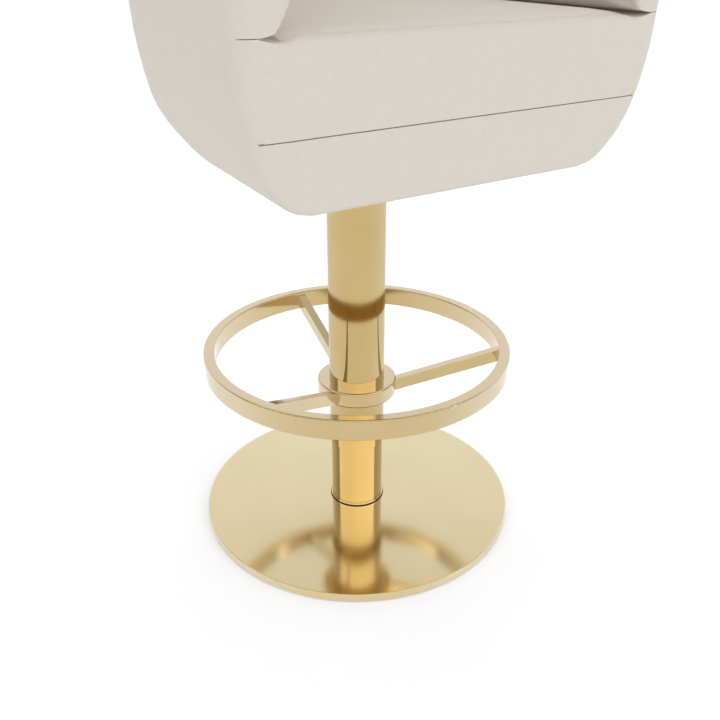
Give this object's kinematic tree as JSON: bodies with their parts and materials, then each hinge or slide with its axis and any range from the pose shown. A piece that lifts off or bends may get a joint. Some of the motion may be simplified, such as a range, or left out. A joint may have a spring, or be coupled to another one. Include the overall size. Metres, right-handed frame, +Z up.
{
  "type": "bar stool",
  "caption": "Height-adjustable swivel bar stool: upholstered tub seat on a telescoping brass column with a spoked footrest ring and a round disc base.",
  "frame": {"origin": "centre of the floor pad's lower face, on the column's axis, at floor level", "axes": "+Z up along the column; the sitter faces -Y; +X is to the sitter's left"},
  "size_m": [0.56, 0.5145, 1],
  "materials": {
    "brass": "polished",
    "rubber": "matt black",
    "cast_iron": "rough",
    "zinc_steel": "zinc plated",
    "black_steel": "satin black",
    "chrome": "polished",
    "nylon": "plain",
    "black_plastic": "fine texture",
    "plywood": "raw",
    "webbing": "woven elastic",
    "fabric": "cream short pile"
  },
  "bodies": {
    "base": {"floor_pad": "rubber", "base_cover": "brass", "ballast_plate": "cast_iron", "foot_screws": "zinc_steel", "column_gasket": "rubber", "foot_flange": "brass", "column_tube": "brass", "foot_plug": "cast_iron", "lift_housing": "black_steel", "column_cap": "black_plastic", "guide_bush": "nylon", "lower_race": "zinc_steel", "thrust_bearing": "zinc_steel"},
    "rod": {"piston_rod": "chrome", "rod_clip": "zinc_steel", "upper_race": "zinc_steel", "stop_buffer": "rubber", "piston": "nylon"},
    "seat": {"gas_cylinder": "black_steel", "rod_gland": "zinc_steel", "sleeve_tube": "brass", "footrest_hub": "brass", "hub_set_screws": "zinc_steel", "footrest_ring": "brass", "footrest_spoke_1": "brass", "footrest_spoke_2": "brass", "footrest_spoke_3": "brass", "lift_pan": "black_steel", "seat_bolts": "zinc_steel", "tee_nuts": "zinc_steel", "lever_pin": "zinc_steel", "tub_shell": "fabric", "seat_board": "plywood", "seat_frame": "plywood", "seat_webbing": "webbing", "front_panel": "fabric", "seat_cushion": "fabric", "arm_back_pad": "fabric"},
    "lever": {"lever": "black_steel", "lever_grip": "black_plastic"},
    "valve": {"valve_pin": "zinc_steel"}
  },
  "joints": [
    {"name": "seat_swivel", "type": "hinge", "parent": "base", "child": "rod", "pos_m": [0, 0, 0], "axis": [0, 0, 1], "continuous": true},
    {"name": "height_lift", "type": "slide", "parent": "rod", "child": "seat", "axis": [0, 0, 1], "range_m": [-0.1, 0]},
    {"name": "lever_pull", "type": "hinge", "parent": "seat", "child": "lever", "pos_m": [-0.04, 0, 0.5624], "axis": [0, 1, 0], "range_deg": [0, 4], "stiffness_Nm_per_rad": 8, "springref_deg": -2.86},
    {"name": "valve_press", "type": "slide", "parent": "seat", "child": "valve", "axis": [0, 0, -1], "range_m": [0, 0.003], "stiffness_N_per_m": 500, "springref_m": -0.001}
  ],
  "couplings": [
    {"joint": "valve_press", "follows": "lever_pull", "m_per_rad": 0.041}
  ]
}
